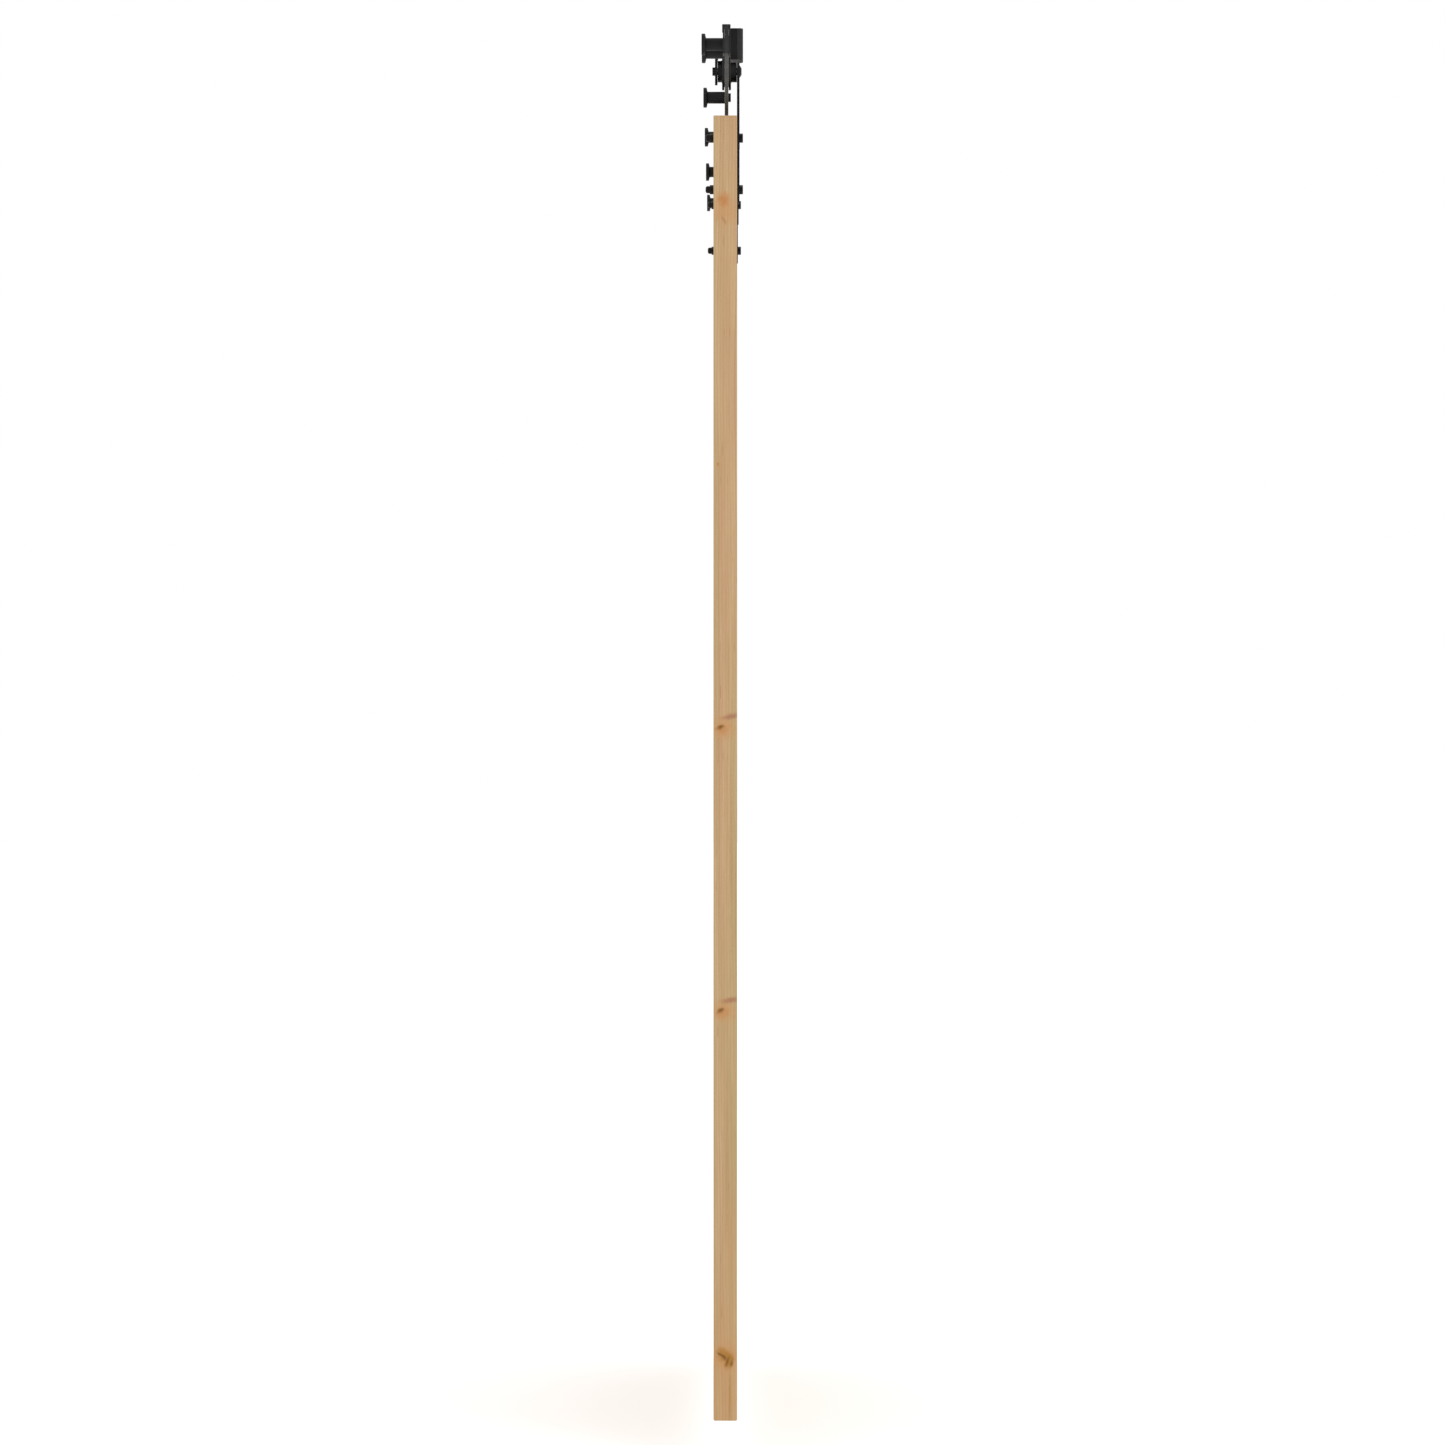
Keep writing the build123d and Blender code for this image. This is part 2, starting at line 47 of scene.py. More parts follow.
# ==== node tree helper =====================================================
class Tree:
    """Short calls for building one material's node tree."""

    def __init__(self, name):
        self.material = bpy.data.materials.new(name)
        self.material.use_nodes = True
        self.nodes = self.material.node_tree.nodes
        self.links = self.material.node_tree.links
        self.shader = self.nodes["Principled BSDF"]

    def put(self, socket, value):
        if isinstance(value, bpy.types.NodeSocket):
            self.links.new(value, socket)
        else:
            socket.default_value = value

    def node(self, kind, **settings):
        made = self.nodes.new("ShaderNode" + kind)
        for key, value in settings.items():
            setattr(made, key, value)
        return made

    def coordinates(self, output="Object"):
        return self.node("TexCoord").outputs[output]

    def mapping(self, vector, location=(0, 0, 0), rotation=(0, 0, 0), scale=(1, 1, 1)):
        made = self.node("Mapping")
        for key, value in zip(("Vector", "Location", "Rotation", "Scale"),
                              (vector, location, rotation, scale)):
            self.put(made.inputs[key], value)
        return made.outputs[0]

    def math(self, operation, first, second=0.0, clamp=False):
        made = self.node("Math", operation=operation, use_clamp=clamp)
        self.put(made.inputs[0], first)
        self.put(made.inputs[1], second)
        return made.outputs[0]

    def vector(self, operation, first, second=(0, 0, 0), output="Vector"):
        made = self.node("VectorMath", operation=operation)
        self.put(made.inputs[0], first)
        self.put(made.inputs[1], second)
        return made.outputs[output]

    def split(self, vector):
        made = self.node("SeparateXYZ")
        self.put(made.inputs[0], vector)
        return made.outputs

    def join(self, x=0.0, y=0.0, z=0.0):
        made = self.node("CombineXYZ")
        for socket, value in zip(made.inputs, (x, y, z)):
            self.put(socket, value)
        return made.outputs[0]

    def noise(self, vector, scale, detail=3.0, roughness=0.5, output="Fac"):
        made = self.node("TexNoise")
        self.put(made.inputs["Vector"], vector)
        self.put(made.inputs["Scale"], scale)
        self.put(made.inputs["Detail"], detail)
        self.put(made.inputs["Roughness"], roughness)
        return made.outputs[output]

    def remap(self, value, low, high, to_low=0.0, to_high=1.0, smooth=True):
        kind = "SMOOTHSTEP" if smooth else "LINEAR"
        made = self.node("MapRange", interpolation_type=kind, clamp=True)
        for key, number in zip(("Value", "From Min", "From Max", "To Min", "To Max"),
                               (value, low, high, to_low, to_high)):
            self.put(made.inputs[key], number)
        return made.outputs[0]

    def ramp(self, value, stops):
        made = self.node("ValToRGB")
        elements = made.color_ramp.elements
        while len(elements) < len(stops):
            elements.new(0.5)
        for element, (place, level) in zip(elements, stops):
            element.position = place
            element.color = (level, level, level, 1)
        self.put(made.inputs[0], value)
        return made.outputs[0]

    def mix(self, factor, first, second, blend="MIX"):
        made = self.node("Mix", data_type="RGBA", blend_type=blend)
        self.put(made.inputs[0], factor)
        self.put(made.inputs[6], first if not isinstance(first, tuple) else (*first, 1))
        self.put(made.inputs[7], second if not isinstance(second, tuple) else (*second, 1))
        return made.outputs[2]

    def bump(self, height, strength, distance, normal=None):
        made = self.node("Bump")
        self.put(made.inputs["Height"], height)
        self.put(made.inputs["Strength"], strength)
        self.put(made.inputs["Distance"], distance)
        if normal is not None:
            self.put(made.inputs["Normal"], normal)
        return made.outputs[0]

    def rounded(self, radius):
        """The surface's direction with its corners rounded to that radius, so that they catch light."""
        bevel = self.node("Bevel", samples=BEVEL_SAMPLES)
        self.put(bevel.inputs["Radius"], radius)
        return bevel.outputs[0]

    def edges(self, radius, sharpness):
        """A mask that is 1 on outer and inner corners and 0 on flats."""
        face = self.node("NewGeometry").outputs["Normal"]
        alike = self.vector("DOT_PRODUCT", self.rounded(radius), face, "Value")
        return self.remap(alike, 1.0 - sharpness, 0.999, 1.0, 0.0)


# ==== pine =================================================================
PINE_STRAW = (0.398, 0.284, 0.136)
PINE_PINK = (0.438, 0.270, 0.144)
PINE_LIGHT = (0.478, 0.332, 0.178)
PINE_LATE = (0.300, 0.165, 0.070)
KNOT_HALO = (0.430, 0.215, 0.080)
KNOT_HEART = (0.215, 0.095, 0.014)
KNOT_BARK = (0.100, 0.042, 0.005)
ORANGE_STAIN = (0.400, 0.165, 0.050)
RED_STAIN = (0.300, 0.140, 0.072)
GOLD_STAIN = (0.300, 0.138, 0.016)
DARK_GOLD = (0.150, 0.056, 0.006)
RING_WIDTH = 4.2 * MM
RING_RIPPLE = 0.9 * MM
KNOT_SWELL = 2.4 * RING_WIDTH          # how far the rings bend round a knot
KNOT_CELL = 0.30                       # one loose knot in about this length each way
SMALLEST_KNOT = 0.3 * MM
LARGEST_KNOT = 12 * MM
PITH_DEPTH = 85 * MM                   # most pieces are cut this far from the middle of the log
PITH_WANDER = 30 * MM
TONE_SPREAD = 0.075                    # how much lighter or darker one piece is than the next
WOOD_CORNER = 0.8 * MM
WOOD_RELIEF = 0.25 * MM
# how much slower each pattern changes along the grain than across it
DRIFT_ALONG = 0.12
FLECK_ALONG = 0.05
RIPPLE_ALONG = 0.04
TAPER_ALONG = 0.03
STREAK_ALONG = 0.022


def loose_knots(tree, place):
    """Round through knots scattered over the faces: distance from the nearest one, in its own radii."""
    x, y, z = tree.split(place)
    leaning = tree.math("ADD", x, tree.math("MULTIPLY", y, 0.35))
    flat = tree.join(leaning, tree.math("MULTIPLY", z, 0.8), 0.0)
    wobble = tree.noise(place, 55.0, 2.0, output="Color")
    flat = tree.vector("ADD", flat, tree.vector("MULTIPLY", wobble, (5 * MM, 5 * MM, 0.0)))
    cells = tree.node("TexVoronoi", feature="F1", voronoi_dimensions="2D")
    tree.put(cells.inputs["Vector"], flat)
    tree.put(cells.inputs["Scale"], 1 / KNOT_CELL)
    chance = tree.split(cells.outputs["Color"])[0]
    radius = tree.remap(chance, 0.35, 1.0, SMALLEST_KNOT, LARGEST_KNOT, smooth=False)
    distance = tree.math("MULTIPLY", cells.outputs["Distance"], KNOT_CELL)
    ragged = tree.remap(tree.noise(place, 210.0, 4.0, 0.65), 0.25, 0.75, -0.28, 0.28, smooth=False)
    return tree.math("MAXIMUM", tree.math("ADD", tree.math("DIVIDE", distance, radius), ragged), 0.0)


def blot(tree, place, at, radii, tilt):
    """Distance from one placed blot, in its own radii, with a ragged edge."""
    local = tree.mapping(tree.vector("SUBTRACT", place, at), rotation=(tilt, 0, 0))
    coarse = tree.vector("SUBTRACT", tree.noise(place, 130.0, 3.0, output="Color"), (0.5, 0.5, 0.5))
    local = tree.vector("MULTIPLY", local, tuple(1 / radius for radius in radii))
    return tree.vector("LENGTH", tree.vector("ADD", local, coarse), output="Value")


def pine(name, node, grain, seed, stains=(), clear_edge=None):
    """Clear-finished pine with growth rings in the solid: `grain` is the angle of the grain above the
    X axis in degrees and `seed` sets the piece's own place in the log.  `stains` are knots and streaks at
    given places, and `clear_edge` is an x beside which there are no loose knots."""
    tree = Tree(name)
    place = tree.coordinates()
    tone = 1 + TONE_SPREAD * sin(9.1 * (seed - 1))
    straw, pink, light, dark = (tuple(tone * channel for channel in colour)
                                for colour in (PINE_STRAW, PINE_PINK, PINE_LIGHT, PINE_LATE))
    turn = radians(grain) - pi / 2
    middle = Matrix.Rotation(turn, 3, "Y") @ centre_of(node)
    pith = Vector((PITH_WANDER * sin(seed * 2.1),
                   PITH_DEPTH + PITH_WANDER * cos(seed * 1.3),
                   0.6 * sin(seed * 5.7)))
    log = tree.mapping(place, location=tuple(pith - middle), rotation=(0, turn, 0))

    # knots first, because the rings flow round them
    knot = loose_knots(tree, tree.mapping(log, location=(seed * 1.73, 0, seed * 2.91)))
    if clear_edge is not None:
        across = tree.math("ABSOLUTE", tree.math("SUBTRACT", tree.split(place)[0], clear_edge))
        knot = tree.math("ADD", knot, tree.remap(across, 8 * MM, 30 * MM, 4.0, 0.0))
    stain_distances = [blot(tree, place, *stain[:3]) for stain in stains]
    swell = tree.math("DIVIDE", 1.0, tree.math("ADD", 1.0, tree.math("MULTIPLY", knot, knot)))
    for distance, stain in zip(stain_distances, stains):
        if stain[-1] == "knot":
            bulge = tree.math("DIVIDE", 0.8, tree.math("ADD", 1.0, tree.math("MULTIPLY", distance, distance)))
            swell = tree.math("MAXIMUM", swell, bulge)

    # growth rings about the pith, drifting slowly along the log
    slow = tree.mapping(log, scale=(1.0, 1.0, DRIFT_ALONG))
    drift = tree.vector("SUBTRACT", tree.noise(slow, 9.0, 2.0, output="Color"), (0.5, 0.5, 0.5))
    drifted = tree.vector("ADD", log, tree.vector("MULTIPLY", drift, (PITH_WANDER, PITH_WANDER, 0.0)))
    tapered = tree.vector("MULTIPLY", drifted, (1.0, 1.0, TAPER_ALONG))
    radius = tree.vector("LENGTH", tapered, output="Value")
    radius = tree.math("ADD", radius, tree.math("MULTIPLY", swell, KNOT_SWELL))
    fine = tree.mapping(log, scale=(1.0, 1.0, RIPPLE_ALONG))
    ripple = tree.math("MULTIPLY", tree.noise(fine, 260.0, 3.0), RING_RIPPLE)
    rings = tree.math("DIVIDE", tree.math("ADD", radius, ripple), RING_WIDTH)
    one_year = [(0.0, 0.25), (0.12, 0.0), (0.55, 0.18), (0.86, 1.0), (1.0, 0.25)]
    late = tree.ramp(tree.math("FRACT", rings), one_year)
    year = tree.node("TexWhiteNoise", noise_dimensions="1D")
    tree.put(year.inputs["W"], tree.math("FLOOR", rings))
    late = tree.math("MULTIPLY", late, tree.remap(year.outputs["Value"], 0, 1, 0.35, 1.0))

    # colour: broad warm and straw drifts, rings, fibres and resin flecks
    broad = tree.noise(tree.mapping(log, scale=(1.0, 1.0, STREAK_ALONG)), 38.0, 4.0)
    base = tree.mix(tree.remap(broad, 0.40, 0.60), straw, pink)
    pale = tree.noise(tree.mapping(log, scale=(1.0, 1.0, TAPER_ALONG)), 90.0, 4.0)
    base = tree.mix(tree.remap(pale, 0.42, 0.66, 0.0, 0.75), base, light)
    wood = tree.mix(tree.math("MULTIPLY", late, 0.62), base, dark)
    fibre = tree.noise(tree.mapping(log, scale=(1.0, 1.0, STREAK_ALONG)), 1400.0, 4.0, 0.65)
    wood = tree.mix(tree.remap(fibre, 0.3, 0.75, 0.0, 0.32), wood, dark)
    fleck = tree.noise(tree.mapping(log, scale=(1.0, 1.0, FLECK_ALONG)), 520.0, 1.0)
    wood = tree.mix(tree.remap(fleck, 0.70, 0.78, 0.0, 0.4), wood, KNOT_HEART)

    # loose knots: orange halo, faintly ringed brown heart, broken dark bark line
    heart_rings = tree.math("SINE", tree.math("MULTIPLY", knot, 21.0))
    heart = tree.mix(tree.remap(heart_rings, -1, 1, 0.42, 0.68), KNOT_HALO, KNOT_HEART)
    wood = tree.mix(tree.remap(knot, 0.9, 3.4, 0.75, 0.0), wood, KNOT_HALO)
    wood = tree.mix(tree.remap(knot, 0.75, 1.2, 0.95, 0.0), wood, heart)
    bark = tree.math("MULTIPLY", tree.remap(knot, 0.74, 0.96), tree.remap(knot, 0.98, 1.3, 1.0, 0.0))
    broken = tree.remap(tree.noise(place, 160.0, 3.0), 0.38, 0.62, 0.1, 0.75)
    wood = tree.mix(tree.math("MULTIPLY", bark, broken), wood, KNOT_BARK)

    # placed knots and streaks, each darkest in its middle
    for distance, (at, radii, tilt, colour, strength, kind) in zip(stain_distances, stains):
        inner = 0.75 if kind == "knot" else 0.1
        wood = tree.mix(tree.remap(distance, inner, 1.25, strength, 0.0), wood, colour)

    # sawn ends drink more finish and look darker
    along = Vector((cos(radians(grain)), 0, sin(radians(grain))))
    facing = tree.vector("DOT_PRODUCT", tree.coordinates("Normal"), tuple(along), "Value")
    end_grain = tree.remap(tree.math("ABSOLUTE", facing), 0.8, 0.97)
    wood = tree.mix(tree.math("MULTIPLY", end_grain, 0.4), wood, dark)

    tree.put(tree.shader.inputs["Base Color"], wood)
    sheen = tree.remap(tree.noise(slow, 40.0, 4.0), 0.3, 0.7, 0.5, 0.64)
    tree.put(tree.shader.inputs["Roughness"], tree.math("ADD", sheen, tree.math("MULTIPLY", end_grain, 0.2)))
    tree.put(tree.shader.inputs["Specular IOR Level"], 0.28)
    relief = tree.math("ADD", tree.math("MULTIPLY", late, 0.5), tree.math("MULTIPLY", fibre, 0.5))
    tree.put(tree.shader.inputs["Normal"], tree.bump(relief, 0.35, WOOD_RELIEF, tree.rounded(WOOD_CORNER)))
    return tree.material


# ==== metals and rubber ====================================================
BARE_STEEL = (0.20, 0.195, 0.19)
BEARING_STEEL = (0.58, 0.58, 0.57)
DUST = (0.036, 0.037, 0.035)
RUBBER_DARK = (0.012, 0.012, 0.012)
RUBBER_BLOOM = (0.026, 0.025, 0.024)
RUBBER_SCUFF = (0.05, 0.048, 0.046)
WEAR_WIDTH = 0.6 * MM
STEEL_CORNER = 0.35 * MM
RUBBER_CORNER = 0.9 * MM
RUBBER_GRAIN = 0.12 * MM


def black_coat(name, colour, roughness, grain_scale, grain_depth, wear=0.25, axis=None, worn=None, gloss=0.2):
    """Black finish on steel.  `axis` (x, z) adds turning marks about a line along Y through that point;
    `worn` is a function of the tree that gives a mask of rubbed, bare metal."""
    tree = Tree(name)
    place = tree.coordinates()
    cloud = tree.noise(place, 38.0, 4.0, 0.6)
    speck = tree.noise(place, grain_scale, 2.0, 0.6)
    lighter = tuple(1.9 * channel + 0.002 for channel in colour)
    paint = tree.mix(tree.remap(cloud, 0.3, 0.72, 0.0, 0.6), colour, lighter)
    paint = tree.mix(tree.remap(speck, 0.45, 0.75, 0.0, 0.4), paint, lighter)
    height = speck
    if axis is not None:
        x, y, z = tree.split(tree.vector("SUBTRACT", place, (axis[0], 0, axis[1])))
        radius = tree.vector("LENGTH", tree.join(x, 0.0, z), output="Value")
        turning = tree.noise(tree.join(radius, y, 0.0), 2600.0, 2.0, 0.7)
        paint = tree.mix(tree.remap(turning, 0.35, 0.7, 0.0, 0.45), paint, lighter)
        height = tree.math("ADD", tree.math("MULTIPLY", speck, 0.5), turning)
    scuff = tree.remap(tree.noise(place, 320.0, 4.0, 0.7), 0.44, 0.66)
    rubbed = tree.math("MULTIPLY", tree.math("MULTIPLY", tree.edges(WEAR_WIDTH, 0.22), wear), scuff)
    if worn is not None:
        rubbed = tree.math("MAXIMUM", rubbed, worn(tree))
    dust = tree.remap(tree.noise(place, 14.0, 5.0, 0.65), 0.45, 0.8, 0.0, 0.16)
    paint = tree.mix(dust, paint, DUST)
    tree.put(tree.shader.inputs["Base Color"], tree.mix(rubbed, paint, BARE_STEEL))
    tree.put(tree.shader.inputs["Metallic"], tree.math("MULTIPLY", rubbed, 0.85))
    tree.put(tree.shader.inputs["Roughness"], tree.remap(cloud, 0.3, 0.7, roughness - 0.06, roughness + 0.08))
    tree.put(tree.shader.inputs["Specular IOR Level"], gloss)
    tree.put(tree.shader.inputs["Normal"], tree.bump(height, 0.4, grain_depth, tree.rounded(STEEL_CORNER)))
    return tree.material


def steel(name, colour, roughness, axis):
    """Ground bearing steel with fine marks round its own axis."""
    tree = Tree(name)
    place = tree.coordinates()
    x, y, z = tree.split(tree.vector("SUBTRACT", place, (axis[0], 0, axis[1])))
    radius = tree.vector("LENGTH", tree.join(x, 0.0, z), output="Value")
    marks = tree.noise(tree.join(radius, y, 0.0), 3200.0, 3.0, 0.7)
    cloud = tree.noise(place, 150.0, 3.0)
    dull = tuple(0.7 * c for c in colour)
    tree.put(tree.shader.inputs["Base Color"], tree.mix(tree.remap(cloud, 0.3, 0.7, 0.0, 0.5), colour, dull))
    tree.put(tree.shader.inputs["Metallic"], 1.0)
    tree.put(tree.shader.inputs["Roughness"], tree.remap(marks, 0.3, 0.7, roughness - 0.08, roughness + 0.1))
    tree.put(tree.shader.inputs["Normal"], tree.bump(marks, 0.25, 0.05 * MM))
    return tree.material


def rubber(name):
    """Dull moulded rubber with a grey bloom, scuffed paler along its corners."""
    tree = Tree(name)
    place = tree.coordinates()
    grain = tree.noise(place, 1500.0, 3.0, 0.6)
    bloom = tree.noise(place, 90.0, 4.0, 0.6)
    dusty = tree.mix(tree.remap(bloom, 0.4, 0.7, 0.0, 0.6), RUBBER_DARK, RUBBER_BLOOM)
    scuffed = tree.math("MULTIPLY", tree.edges(2 * WEAR_WIDTH, 0.25), 0.35)
    dusty = tree.mix(scuffed, dusty, RUBBER_SCUFF)
    tree.put(tree.shader.inputs["Base Color"], dusty)
    tree.put(tree.shader.inputs["Roughness"], tree.remap(bloom, 0.3, 0.7, 0.72, 0.88))
    tree.put(tree.shader.inputs["Specular IOR Level"], 0.25)
    tree.put(tree.shader.inputs["Normal"], tree.bump(grain, 0.35, RUBBER_GRAIN, tree.rounded(RUBBER_CORNER)))
    return tree.material


# ==== materials on the pieces ==============================================
def dress(node, material):
    """Gives a CAD node its material in every slot."""
    slots = nodes[node].material_slots
    for slot in slots:
        slot.material = material
    if not slots:
        nodes[node].data.materials.append(material)


# knots and streaks on the left stile's outer edge: place, radii, tilt about X, colour, strength, kind
EDGE_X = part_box("door_stile_left")[0][0]
STILE_EDGE_STAINS = [
    ((EDGE_X, -0.0340, -0.188), (0.035, 0.0240, 0.0300), 0.2, KNOT_HALO, 0.62, "halo"),
    ((EDGE_X, -0.0325, -0.172), (0.030, 0.0115, 0.0140), 0.3, ORANGE_STAIN, 0.95, "halo"),
    ((EDGE_X, -0.0330, -0.204), (0.020, 0.0028, 0.0090), 0.5, RED_STAIN, 0.60, "halo"),
    ((EDGE_X, -0.0235, -0.597), (0.020, 0.0055, 0.0060), 0.0, KNOT_HALO, 0.55, "halo"),
    ((EDGE_X, -0.0235, -0.597), (0.020, 0.0020, 0.0026), 0.3, KNOT_HEART, 0.35, "knot"),
]
for knot_z in (-1.020, -1.476):
    STILE_EDGE_STAINS += [
        ((EDGE_X, -0.0330, knot_z - 0.001), (0.030, 0.0230, 0.0220), 0.0, KNOT_HALO, 0.75, "halo"),
        ((EDGE_X, -0.0300, knot_z - 0.003), (0.030, 0.0120, 0.0110), 0.0, ORANGE_STAIN, 0.50, "halo"),
        ((EDGE_X, -0.0450, knot_z + 0.017), (0.030, 0.0180, 0.0058), 0.18, RED_STAIN, 0.95, "halo"),
        ((EDGE_X, -0.0275, knot_z), (0.022, 0.0080, 0.0048), 0.50, KNOT_HEART, 0.95, "halo"),
        ((EDGE_X, -0.0285, knot_z + 0.001), (0.018, 0.0050, 0.0026), 0.5, KNOT_BARK, 0.55, "halo"),
    ]
STILE_EDGE_STAINS += [
    ((EDGE_X, -0.0350, -2.070), (0.040, 0.0700, 0.1600), 0.0, KNOT_HALO, 0.36, "halo"),
    ((EDGE_X, -0.0350, -2.034), (0.030, 0.0260, 0.0250), 0.7, KNOT_HALO, 0.90, "halo"),
    ((EDGE_X, -0.0340, -2.030), (0.026, 0.0165, 0.0125), -0.65, GOLD_STAIN, 0.98, "halo"),
    ((EDGE_X, -0.0420, -2.041), (0.026, 0.0080, 0.0150), -0.35, GOLD_STAIN, 0.98, "halo"),
    ((EDGE_X, -0.0270, -2.029), (0.022, 0.0065, 0.0026), -0.5, DARK_GOLD, 0.90, "halo"),
    ((EDGE_X, -0.0330, -2.033), (0.022, 0.0075, 0.0034), -0.8, DARK_GOLD, 0.95, "halo"),
    ((EDGE_X, -0.0390, -2.040), (0.022, 0.0032, 0.0095), -0.35, DARK_GOLD, 0.85, "halo"),
    ((EDGE_X, -0.0455, -2.044), (0.022, 0.0026, 0.0080), -0.2, DARK_GOLD, 0.80, "halo"),
    ((EDGE_X, -0.0425, -2.092), (0.020, 0.0018, 0.0520), 0.0, GOLD_STAIN, 0.65, "halo"),
    ((EDGE_X, -0.0405, -0.915), (0.020, 0.0016, 0.0900), 0.0, PINE_LATE, 0.40, "halo"),
    ((EDGE_X, -0.0453, -1.230), (0.020, 0.0018, 0.1500), 0.0, PINE_LATE, 0.50, "halo"),
    ((EDGE_X, -0.0380, -1.740), (0.020, 0.0020, 0.1400), 0.0, PINE_LATE, 0.45, "halo"),
    ((EDGE_X, -0.0420, -1.850), (0.020, 0.0070, 0.0900), 0.0, KNOT_HALO, 0.30, "halo"),
]

# grain angles above the X axis, in degrees
VERTICAL = 90
LEVEL = 0
BRACE_WIDTH = 92 * MM

# each piece's seed is its own place in the log, so no two show the same grain

for number, side in enumerate(("left", "right")):
    stains, clear_edge = (STILE_EDGE_STAINS, EDGE_X) if side == "left" else ((), None)
    stile = f"door_stile_{side}"
    dress(stile, pine(f"pine_{stile}", stile, VERTICAL, 1.0 + 3.7 * number, stains, clear_edge))
for number, rail_name in enumerate(("top", "middle", "bottom")):
    rail = f"door_rail_{rail_name}"
    dress(rail, pine(f"pine_{rail}", rail, LEVEL, 5.3 + 2.3 * number))
for panel_number, panel in enumerate(("upper", "lower")):
    for number in range(1, BOARDS_IN_PANEL + 1):
        board = f"{panel}_board_{number}"
        dress(board, pine(f"pine_{board}", board, VERTICAL, 11.0 + 7.1 * panel_number + 1.9 * number))
    brace = f"{panel}_brace"
    extent = size_of(brace)
    rise = 1 if panel == "upper" else -1
    lean = atan2(rise * (extent.z - BRACE_WIDTH), extent.x - BRACE_WIDTH)
    dress(brace, pine(f"pine_{brace}", brace, lean * 180 / pi, 31.0 + 4.3 * panel_number))

TRACK_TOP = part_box("track_rail")[1][2]
TRACK_MIDDLE = centre_of("track_rail")
STOP_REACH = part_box("stop_clamp_left")[1][0]
GROOVE_FLOOR = centre_of("wheel_left").z - TRACK_TOP


def rolled_top(tree):
    """The strip along the track's top edge, between the stops, where the wheels run."""
    place = tree.coordinates()
    x, y, z = tree.split(place)
    high = tree.remap(z, TRACK_TOP - 0.8 * MM, TRACK_TOP - 0.1 * MM)
    along = tree.remap(tree.math("ABSOLUTE", x), -STOP_REACH - 30 * MM, -STOP_REACH - 10 * MM, 1.0, 0.0)
    patches = tree.noise(tree.mapping(place, scale=(0.05, 1, 1)), 900.0, 3.0)
    run = tree.math("MULTIPLY", high, along)
    return tree.math("MULTIPLY", run, tree.remap(patches, 0.35, 0.6, 0.25, 0.8))


def rolled_groove(side):
    """The floor of a wheel's groove, where it runs on the track."""
    middle = centre_of(f"wheel_{side}")

    def mask(tree):
        place = tree.coordinates()
        axle = (middle.x, TRACK_MIDDLE.y, middle.z)
        x, y, z = tree.split(tree.vector("SUBTRACT", place, axle))
        radius = tree.vector("LENGTH", tree.join(x, 0.0, z), output="Value")
        floor = tree.remap(radius, GROOVE_FLOOR - 0.1 * MM, GROOVE_FLOOR + 0.6 * MM, 1.0, 0.0)
        over_bearing = tree.remap(radius, GROOVE_FLOOR - 1.0 * MM, GROOVE_FLOOR - 0.6 * MM)
        near = tree.remap(tree.math("ABSOLUTE", y), 2.6 * MM, 3.4 * MM, 1.0, 0.0)
        patches = tree.remap(tree.noise(place, 700.0, 3.0), 0.3, 0.6, 0.35, 0.85)
        ring = tree.math("MULTIPLY", floor, over_bearing)
        return tree.math("MULTIPLY", ring, tree.math("MULTIPLY", near, patches))
    return mask


# black finishes: powder coat, satin paint, the track's greyer coat, and oxide
POWDER = (0.0072, 0.0072, 0.0075)
SATIN = (0.0085, 0.0085, 0.0087)
TRACK_GREY = (0.0115, 0.0124, 0.0120)
OXIDE = (0.0035, 0.0033, 0.0037)

dress("track_rail", black_coat("coat_track", TRACK_GREY, 0.52, 900.0, 0.05 * MM, 0.06, worn=rolled_top))
for number in range(1, STANDOFFS + 1):
    standoff = f"standoff_{number}"
    centre = centre_of(standoff)
    axis = (centre.x, centre.z)
    dress(standoff, black_coat(f"coat_{standoff}", SATIN, 0.46, 1300.0, 0.06 * MM, 0.1, axis, gloss=0.10))
oxide = black_coat("black_oxide", OXIDE, 0.36, 1600.0, 0.05 * MM, 0.2, gloss=0.12)
strap_coat = black_coat("coat_strap", OXIDE, 0.50, 1000.0, 0.10 * MM, 0.08, gloss=0.12)
clamp_coat = black_coat("coat_clamp", POWDER, 0.50, 1100.0, 0.08 * MM, 0.12, gloss=0.16)
# the stop block takes the darker oxide black instead of the clamp's powder coat, as painted shade on the
# stop's front face
block_coat_painted_shade = black_coat("coat_block_painted_shade", OXIDE, 0.50, 1100.0, 0.08 * MM, 0.25, gloss=0.12)
bumper_rubber = rubber("bumper_rubber")
dress("track_bolts", oxide)
for side in ("left", "right"):
    dress(f"stop_clamp_{side}", clamp_coat)
    dress(f"stop_block_{side}", block_coat_painted_shade)
    dress(f"stop_bumper_{side}", bumper_rubber)
    dress(f"stop_screws_{side}", oxide)
    dress(f"hanger_strap_{side}", strap_coat)
    for piece in ("door_bolts", "acorn_nuts", "axle_bolt", "axle_nut"):
        dress(f"{piece}_{side}", oxide)
    wheel = f"wheel_{side}"
    hub = centre_of(wheel)
    axis = (hub.x, hub.z)
    wheel_coat = black_coat(f"coat_{wheel}", OXIDE, 0.42, 1300.0, 0.06 * MM, 0.15, axis, rolled_groove(side))
    dress(wheel, wheel_coat)
    race_steel = steel(f"race_steel_{side}", BEARING_STEEL, 0.24, axis)
    for piece in ("bearing_outer_races", "bearing_inner_races", "bearing_balls", "axle_sleeve",
                  "axle_washers"):
        dress(f"{piece}_{side}", race_steel)

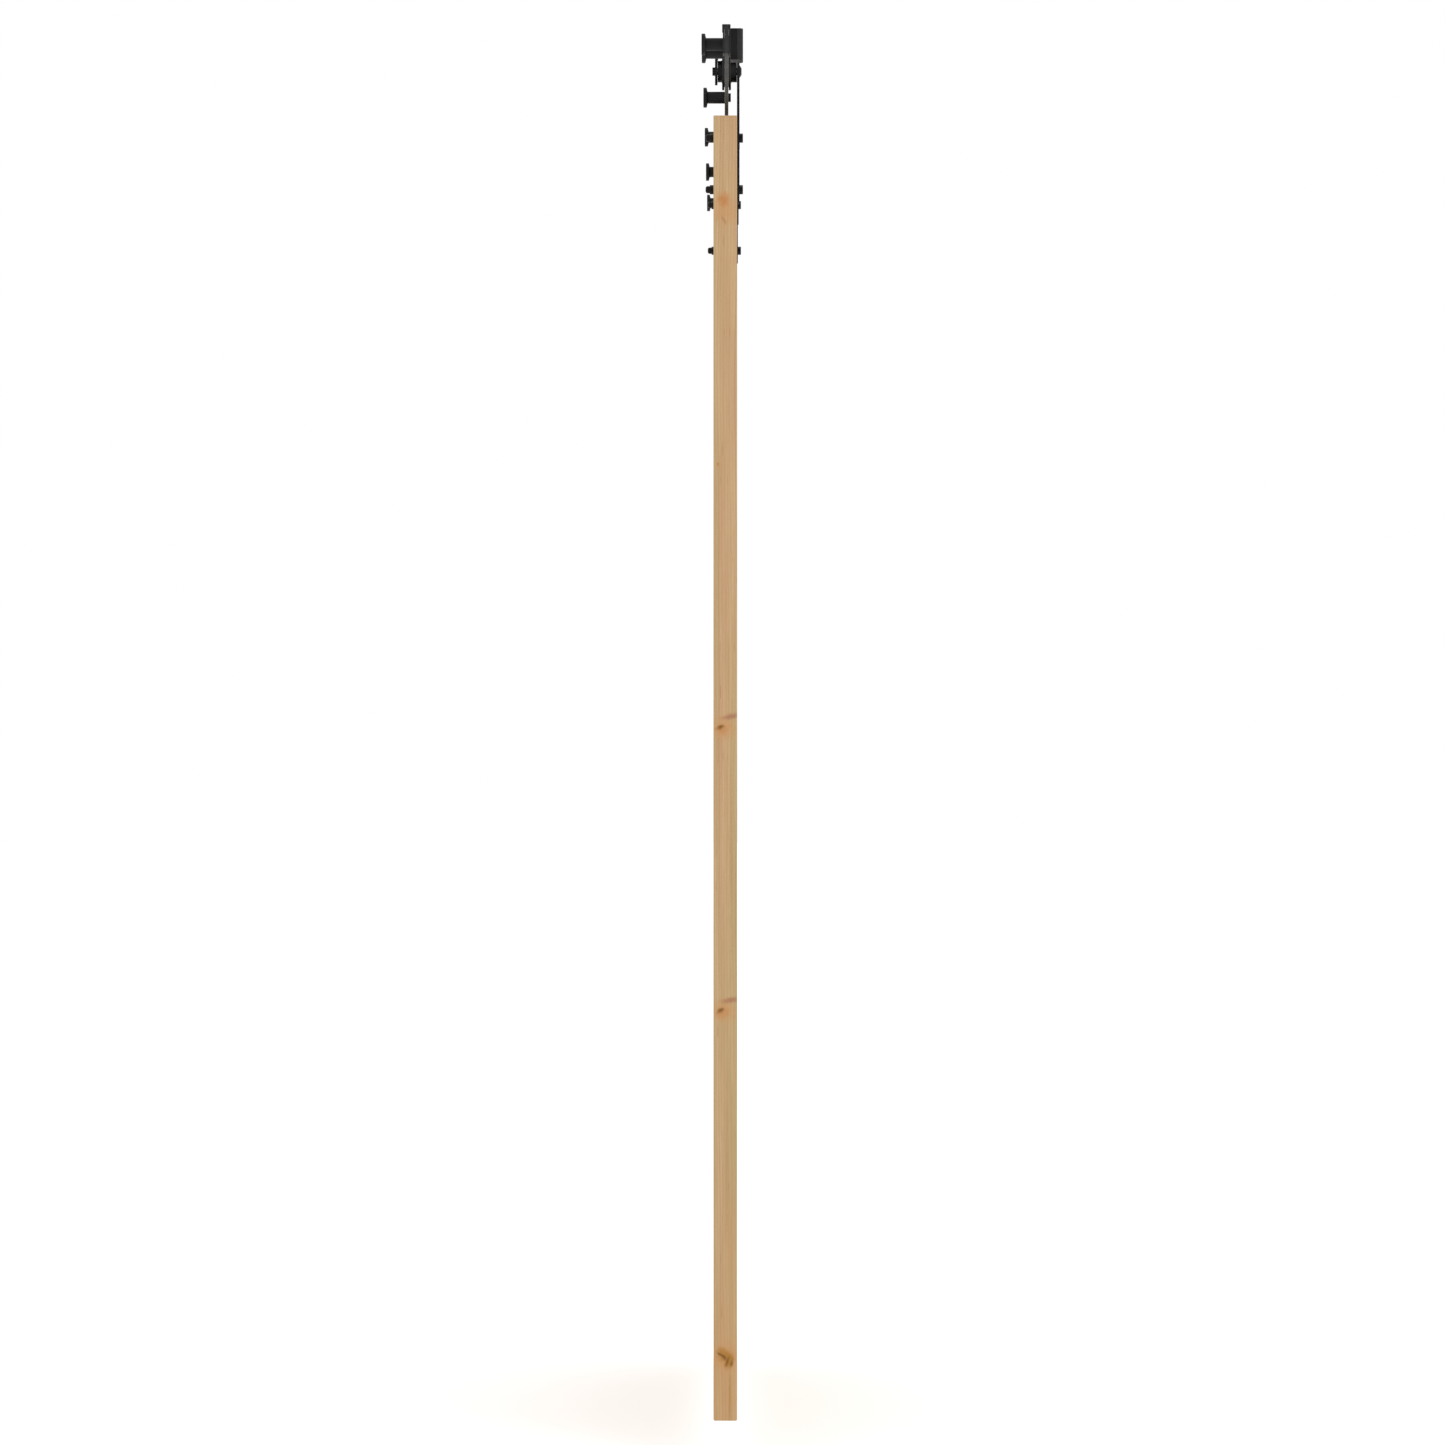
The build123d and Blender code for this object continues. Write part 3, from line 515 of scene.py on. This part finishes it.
# ==== floor, light and camera ==============================================
door_low, door_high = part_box("door_stile_left")
FLOOR_GAP = 60 * MM
FLOOR_GLOW = 0.14                      # a little light of its own keeps the floor pale in the shade
FLOOR_SIZE = 60
FLOOR_PALE = (0.965, 0.965, 0.965)
FLOOR_PALER = (0.975, 0.975, 0.975)
floor_z = door_low[2] - FLOOR_GAP

bpy.ops.mesh.primitive_plane_add(size=FLOOR_SIZE, location=(0, 0, floor_z))
floor = bpy.context.object
floor.name = "studio_floor"
floor_tree = Tree("studio_floor")
pale = floor_tree.noise(floor_tree.coordinates(), 1.5, 3.0)
floor_tree.put(floor_tree.shader.inputs["Base Color"],
               floor_tree.mix(floor_tree.remap(pale, 0.3, 0.7), FLOOR_PALE, FLOOR_PALER))
floor_tree.put(floor_tree.shader.inputs["Roughness"], 0.9)
floor_tree.put(floor_tree.shader.inputs["Specular IOR Level"], 0.0)
floor_tree.put(floor_tree.shader.inputs["Emission Color"], (1, 1, 1, 1))
floor_tree.put(floor_tree.shader.inputs["Emission Strength"], FLOOR_GLOW)
floor.data.materials.append(floor_tree.material)

WORLD_STRENGTH = 1.0
world = bpy.data.worlds.new("studio")
bpy.context.scene.world = world
world.use_nodes = True
world.node_tree.nodes["Background"].inputs["Color"].default_value = (1, 1, 1, 1)
world.node_tree.nodes["Background"].inputs["Strength"].default_value = WORLD_STRENGTH


def softbox(name, location, aim, width, height, power):
    data = bpy.data.lights.new(name, "AREA")
    data.shape = "RECTANGLE"
    data.size = width
    data.size_y = height
    data.energy = power
    lamp = bpy.data.objects.new(name, data)
    bpy.context.scene.collection.objects.link(lamp)
    lamp.location = location
    lamp.rotation_euler = (Vector(aim) - Vector(location)).to_track_quat("-Z", "Y").to_euler()


DOOR_CENTRE = (0.0, -0.035, -1.05)
ROOM_SIDE_WATTS = 60
WALL_SIDE_WATTS = 25
softbox("room_side", (-2.6, -3.6, 0.4), DOOR_CENTRE, 2.4, 3.2, ROOM_SIDE_WATTS)
softbox("wall_side", (-2.2, 3.2, 0.6), DOOR_CENTRE, 1.6, 2.4, WALL_SIDE_WATTS)

# the camera looks along the track from beyond its left end, in the door's own mid-plane
PHOTO_WIDTH = 1445
FOCAL_IN_WIDTHS = 3710 / PHOTO_WIDTH
SENSOR = 36
VANISHING_SHIFT = -2.8 / PHOTO_WIDTH
FAR_CLIP = 100
camera_data = bpy.data.cameras.new("camera")
camera_data.sensor_width = SENSOR
camera_data.lens = SENSOR * FOCAL_IN_WIDTHS
camera_data.shift_x = VANISHING_SHIFT
camera = bpy.data.objects.new("camera", camera_data)
bpy.context.scene.collection.objects.link(camera)
CAMERA_TO_DOOR = 5.968
CAMERA_OVER_DOOR_BOTTOM = 1.1235
door_middle = (door_low[1] + door_high[1]) / 2
camera.location = (door_low[0] - CAMERA_TO_DOOR, door_middle, door_low[2] + CAMERA_OVER_DOOR_BOTTOM)
camera.rotation_euler = (pi / 2, 0, -pi / 2)
camera_data.clip_end = FAR_CLIP
bpy.context.scene.camera = camera
bpy.context.scene.view_settings.view_transform = "Standard"
